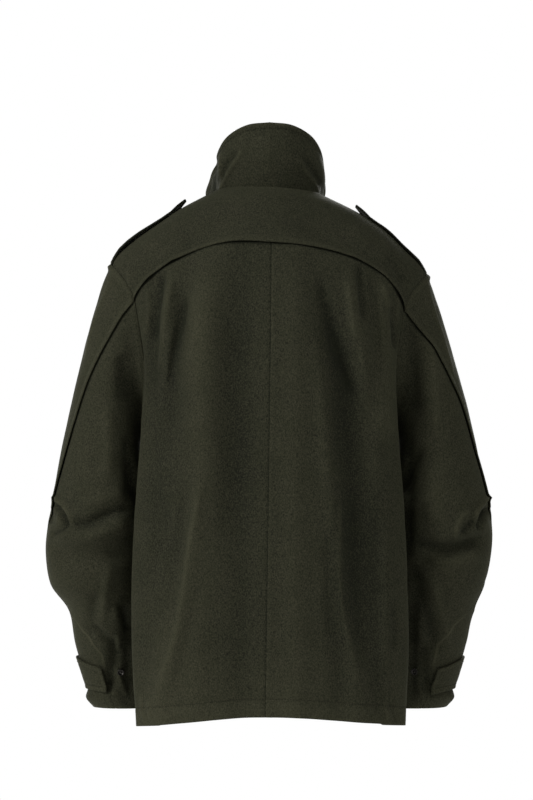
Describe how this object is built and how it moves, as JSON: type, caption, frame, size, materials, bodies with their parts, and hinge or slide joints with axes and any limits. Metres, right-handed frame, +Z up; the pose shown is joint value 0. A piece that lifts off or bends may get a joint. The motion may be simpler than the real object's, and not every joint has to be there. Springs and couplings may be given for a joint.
{
  "type": "parka",
  "caption": "Hollow worn form of a short field parka in brushed cloth, with stand collar, back yoke, shoulder straps, shaped sleeves, cuff straps and flap front.",
  "frame": {"origin": "middle of the neck opening, level with the collar seam at the nape, where the wearer's neck and shoulders carry the parka", "axes": "+Z up the wearer's spine, +X towards the wearer's left, and the wearer faces -Y"},
  "size_m": [0.6477, 0.3086, 0.8604],
  "materials": {
    "yoke": "matte brushed nap",
    "back_left": "matte brushed nap",
    "back_right": "matte brushed nap",
    "front_left": "matte brushed nap",
    "front_right": "matte brushed nap",
    "collar": "matte brushed nap",
    "sleeve_top_left": "matte brushed nap",
    "sleeve_top_right": "matte brushed nap",
    "sleeve_under_left": "matte brushed nap",
    "sleeve_under_right": "matte brushed nap",
    "epaulette_left": "matte brushed nap",
    "epaulette_right": "matte brushed nap",
    "cuff_tab_left": "matte brushed nap",
    "cuff_tab_right": "matte brushed nap",
    "front_flap": "matte brushed nap",
    "cuff_stud_left": "dark gunmetal, polished",
    "cuff_stud_right": "dark gunmetal, polished",
    "flap_stud_1": "dark gunmetal, polished",
    "flap_stud_2": "dark gunmetal, polished",
    "flap_stud_3": "dark gunmetal, polished",
    "flap_stud_4": "dark gunmetal, polished",
    "flap_stud_5": "dark gunmetal, polished",
    "flap_stud_6": "dark gunmetal, polished"
  },
  "bodies": {
    "root": {"yoke": "yoke", "back_left": "back_left", "back_right": "back_right", "front_left": "front_left", "front_right": "front_right", "collar": "collar", "sleeve_top_left": "sleeve_top_left", "sleeve_top_right": "sleeve_top_right", "sleeve_under_left": "sleeve_under_left", "sleeve_under_right": "sleeve_under_right", "epaulette_left": "epaulette_left", "epaulette_right": "epaulette_right", "cuff_tab_left": "cuff_tab_left", "cuff_tab_right": "cuff_tab_right", "front_flap": "front_flap", "cuff_stud_left": "cuff_stud_left", "cuff_stud_right": "cuff_stud_right", "flap_stud_1": "flap_stud_1", "flap_stud_2": "flap_stud_2", "flap_stud_3": "flap_stud_3", "flap_stud_4": "flap_stud_4", "flap_stud_5": "flap_stud_5", "flap_stud_6": "flap_stud_6"}
  },
  "joints": []
}
